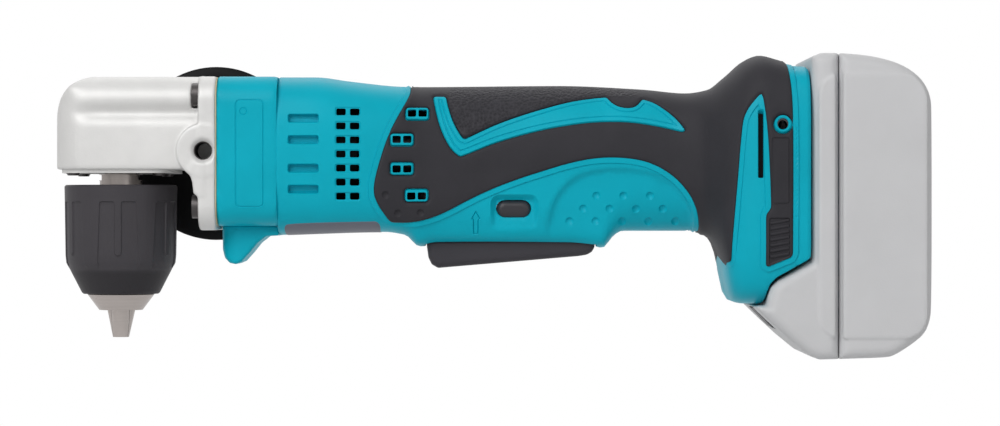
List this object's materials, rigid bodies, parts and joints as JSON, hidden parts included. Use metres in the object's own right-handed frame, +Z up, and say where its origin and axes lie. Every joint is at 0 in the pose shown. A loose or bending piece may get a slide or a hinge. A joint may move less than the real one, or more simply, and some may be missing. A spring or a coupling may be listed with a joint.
{
  "type": "right angle drill",
  "caption": "Cordless right angle drill with a cast gear head, keyless chuck, paddle switch, rubber grip, side grip and slide-on battery.",
  "frame": {"origin": "mouth of the closed chuck, on the spindle axis", "axes": "+X along the body from the spindle towards the battery, +Z up along the spindle away from the bit, +Y to the side grip"},
  "size_m": [0.3137, 0.1786, 0.109],
  "materials": {
    "cast_aluminium": "bead-blasted casting",
    "steel": "ground",
    "dark_steel": "oiled",
    "teal_plastic": "fine moulded texture",
    "rubber": "matt overmould",
    "dark_plastic": "fine moulded texture",
    "black_plastic": "satin",
    "pale_plastic": "satin",
    "brass": "bright",
    "copper": "bright copper",
    "gasket_paper": "sealing paper",
    "clear_lens": "clear",
    "ferrite": "sintered",
    "cell_can": "sleeved cell"
  },
  "bodies": {
    "drill": {"gear_head": "cast_aluminium", "head_flange": "cast_aluminium", "bearing_box": "cast_aluminium", "box_screws": "dark_steel", "head_gasket": "gasket_paper", "gear_case": "teal_plastic", "head_bolts": "steel", "left_shell": "teal_plastic", "right_shell": "teal_plastic", "left_grip": "rubber", "right_grip": "rubber", "shell_screws": "dark_steel", "hook_inserts": "brass", "lever_pin": "steel", "led_lens": "clear_lens", "motor_yoke": "steel", "magnets": "ferrite", "end_bell": "black_plastic", "brush_holders": "brass", "carbon_brushes": "ferrite", "motor_bearings": "steel", "pinion_bearings": "steel", "spindle_bearing": "steel", "spindle_bush": "brass", "switch_body": "black_plastic", "terminal_block": "black_plastic", "terminal_blades": "brass", "side_grip": "black_plastic", "side_grip_stud": "steel"},
    "armature": {"armature_shaft": "steel", "armature_core": "steel", "windings": "copper", "commutator": "copper", "cooling_fan": "black_plastic"},
    "layshaft": {"bevel_pinion": "steel", "layshaft": "steel", "spur_gear": "steel"},
    "spindle": {"spindle": "steel", "bevel_gear": "steel", "chuck_body": "steel"},
    "sleeve": {"chuck_sleeve": "dark_plastic", "chuck_nut": "steel"},
    "jaw_a": {"jaw_1": "steel"},
    "jaw_b": {"jaw_2": "steel"},
    "jaw_c": {"jaw_3": "steel"},
    "lever": {"paddle_lever": "dark_plastic"},
    "plunger": {"switch_plunger": "black_plastic"},
    "direction": {"direction_button": "dark_plastic"},
    "battery": {"battery_cover": "pale_plastic", "battery_bin": "pale_plastic", "battery_cells": "cell_can", "battery_contacts": "brass"},
    "release": {"release_button": "dark_plastic"}
  },
  "joints": [
    {"name": "spindle_spin", "type": "hinge", "parent": "drill", "child": "spindle", "pos_m": [0, 0, 0.0475], "axis": [0, 0, 1], "continuous": true},
    {"name": "layshaft_spin", "type": "hinge", "parent": "drill", "child": "layshaft", "pos_m": [0.03, 0, 0.0801], "axis": [1, 0, 0], "continuous": true},
    {"name": "armature_spin", "type": "hinge", "parent": "drill", "child": "armature", "pos_m": [0.09, 0, 0.0675], "axis": [1, 0, 0], "continuous": true},
    {"name": "sleeve_turn", "type": "hinge", "parent": "spindle", "child": "sleeve", "pos_m": [0, 0, 0.0375], "axis": [0, 0, 1], "range_deg": [0, 3720]},
    {"name": "jaw_a_slide", "type": "slide", "parent": "spindle", "child": "jaw_a", "axis": [0, -0.2419, 0.9703], "range_m": [0, 0.0207]},
    {"name": "jaw_b_slide", "type": "slide", "parent": "spindle", "child": "jaw_b", "axis": [0.2095, 0.121, 0.9703], "range_m": [0, 0.0207]},
    {"name": "jaw_c_slide", "type": "slide", "parent": "spindle", "child": "jaw_c", "axis": [-0.2095, 0.121, 0.9703], "range_m": [0, 0.0207]},
    {"name": "lever_squeeze", "type": "hinge", "parent": "drill", "child": "lever", "pos_m": [0.168, 0, 0.0378], "axis": [0, 1, 0], "range_deg": [0, 6], "stiffness_Nm_per_rad": 1.2, "springref_deg": -4.58},
    {"name": "plunger_press", "type": "slide", "parent": "drill", "child": "plunger", "axis": [0, 0, 1], "range_m": [0, 0.0013]},
    {"name": "direction_shift", "type": "slide", "parent": "drill", "child": "direction", "axis": [0, 1, 0], "range_m": [-0.0025, 0.0025]},
    {"name": "battery_slide", "type": "slide", "parent": "drill", "child": "battery", "axis": [0, 0, -1], "range_m": [0, 0.08]},
    {"name": "release_press", "type": "slide", "parent": "battery", "child": "release", "axis": [1, 0, 0], "range_m": [0, 0.0035], "stiffness_N_per_m": 600, "springref_m": -0.003}
  ],
  "couplings": [
    {"joint": "layshaft_spin", "follows": "spindle_spin", "ratio": 3.4},
    {"joint": "armature_spin", "follows": "spindle_spin", "ratio": -10.2},
    {"joint": "jaw_a_slide", "follows": "sleeve_turn", "m_per_rad": 0.00031831},
    {"joint": "jaw_b_slide", "follows": "sleeve_turn", "m_per_rad": 0.00031831},
    {"joint": "jaw_c_slide", "follows": "sleeve_turn", "m_per_rad": 0.00031831},
    {"joint": "plunger_press", "follows": "lever_squeeze", "m_per_rad": 0.0121}
  ]
}
